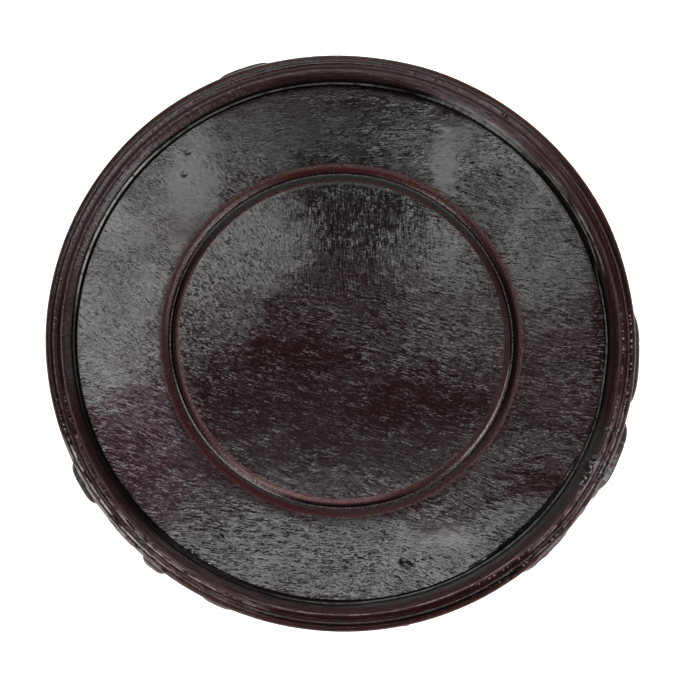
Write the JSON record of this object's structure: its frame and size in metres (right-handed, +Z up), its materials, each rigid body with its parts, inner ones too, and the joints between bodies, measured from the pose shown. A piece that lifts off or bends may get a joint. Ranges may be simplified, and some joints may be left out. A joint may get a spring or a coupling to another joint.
{
  "type": "round display stand",
  "caption": "Low round lacquered wood stand with a recessed panel, beaded rim, carved aprons and short scroll-footed legs, made to carry a vase, bowl or carving.",
  "frame": {"origin": "bottom centre of the stand, on the surface that the feet stand on, under the centre of the round top", "axes": "+Z up, the axis of the round top; +X to the right and +Y away from the viewer, as the reference view shows the top; one leg points to azimuth 110 degrees from +X"},
  "size_m": [0.1509, 0.15, 0.048],
  "materials": {
    "lacquered_wood": "dark reddish-brown hardwood under glossy lacquer, with fine grain pores, worn duller and redder on turned edges",
    "plain_wood": "the same dark wood under a thin satin coat, on a part seen only from below",
    "bamboo": "small round pegs of bamboo, cut flush and left matt"
  },
  "bodies": {
    "root": {"top_panel": "lacquered_wood", "panel_batten": "plain_wood", "rim_segment_1": "lacquered_wood", "rim_segment_2": "lacquered_wood", "rim_segment_3": "lacquered_wood", "rim_segment_4": "lacquered_wood", "leg_1": "lacquered_wood", "leg_2": "lacquered_wood", "leg_3": "lacquered_wood", "apron_1": "lacquered_wood", "apron_2": "lacquered_wood", "apron_3": "lacquered_wood", "leg_peg_1": "bamboo", "leg_peg_2": "bamboo", "leg_peg_3": "bamboo", "apron_peg_1": "bamboo", "apron_peg_2": "bamboo", "apron_peg_3": "bamboo", "apron_peg_4": "bamboo", "apron_peg_5": "bamboo", "apron_peg_6": "bamboo"}
  },
  "joints": []
}
